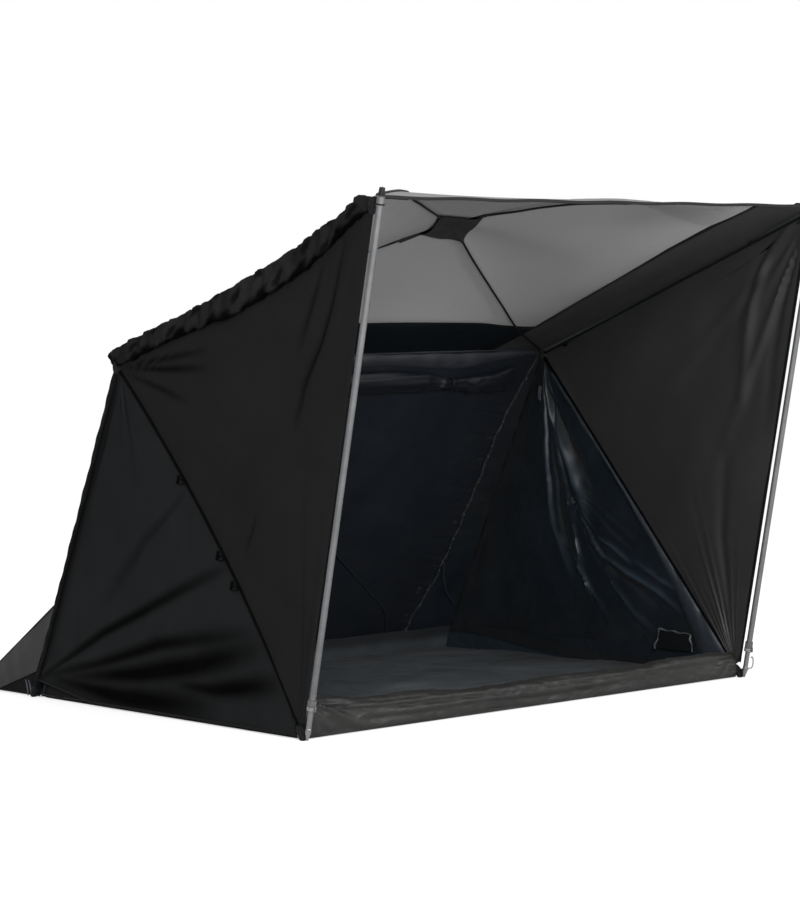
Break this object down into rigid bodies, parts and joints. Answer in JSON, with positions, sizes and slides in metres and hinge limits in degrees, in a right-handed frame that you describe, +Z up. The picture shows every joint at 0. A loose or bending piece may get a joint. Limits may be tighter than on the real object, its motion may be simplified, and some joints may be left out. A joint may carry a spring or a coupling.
{
  "type": "ridge tent",
  "caption": "Ridge tent with a tray floor, closed sides and rear, and its domed front panel lifted as an awning on two leaning posts.",
  "frame": {"origin": "on the ground, in the middle of the floor's underside", "axes": "+X to the right seen from the open front, +Y to the rear apron, +Z up"},
  "size_m": [2.6604, 3.0499, 2.0996],
  "materials": {
    "floor_cloth": "coated dark bluish groundsheet cloth, slight sheen",
    "wall_cloth": "black coated tent cloth with a bluish sheen",
    "black_cloth": "matt black tent cloth",
    "roof_cloth": "thin black cloth that lets grey light through",
    "apron_cloth": "dark grey coated cloth",
    "frame_black": "black glass-fibre rods and plastic fittings",
    "post_aluminium": "satin grey tube",
    "leg_aluminium": "bright inner tube with a pointed foot",
    "cord_black": "black braided cord"
  },
  "bodies": {
    "tent": {"floor": "floor_cloth", "sill_front": "floor_cloth", "tray_left": "floor_cloth", "tray_right": "floor_cloth", "tray_rear": "floor_cloth", "side_wall_left": "wall_cloth", "side_wall_right": "wall_cloth", "wing_left": "black_cloth", "wing_right": "black_cloth", "valance_left": "black_cloth", "valance_right": "black_cloth", "roof_panel": "roof_cloth", "roof_border_left": "black_cloth", "roof_border_right": "black_cloth", "roof_border_rear": "black_cloth", "roof_hem_front": "apron_cloth", "roof_hub": "frame_black", "rib_front_left": "frame_black", "rib_front_right": "frame_black", "rib_rear_left": "frame_black", "rib_rear_right": "frame_black", "ridge_band": "black_cloth", "rear_wall": "wall_cloth", "rear_flap_roll": "wall_cloth", "rear_apron": "apron_cloth", "apron_lip": "apron_cloth", "apron_end_left": "apron_cloth", "apron_end_right": "apron_cloth", "apron_cord_left": "cord_black", "apron_cord_right": "cord_black", "rafter_front_left": "frame_black", "rafter_front_right": "frame_black", "rafter_rear_left": "frame_black", "rafter_rear_right": "frame_black", "ridge_corner_left": "frame_black", "ridge_corner_right": "frame_black", "front_corner_left": "frame_black", "front_corner_right": "frame_black", "rear_corner_left": "frame_black", "rear_corner_right": "frame_black", "awning_corner_left": "frame_black", "awning_corner_right": "frame_black", "post_tube_left": "post_aluminium", "post_tube_right": "post_aluminium", "post_collar_left": "frame_black", "post_collar_right": "frame_black", "post_cap_left": "frame_black", "post_cap_right": "frame_black"},
    "leg_left": {"post_leg_left": "leg_aluminium"},
    "leg_right": {"post_leg_right": "leg_aluminium"}
  },
  "joints": [
    {"name": "leg_left_slide", "type": "slide", "parent": "tent", "child": "leg_left", "axis": [0.0146, -0.2581, 0.966], "range_m": [-0.3, 0.06]},
    {"name": "leg_right_slide", "type": "slide", "parent": "tent", "child": "leg_right", "axis": [-0.0146, -0.2581, 0.966], "range_m": [-0.3, 0.06]}
  ]
}
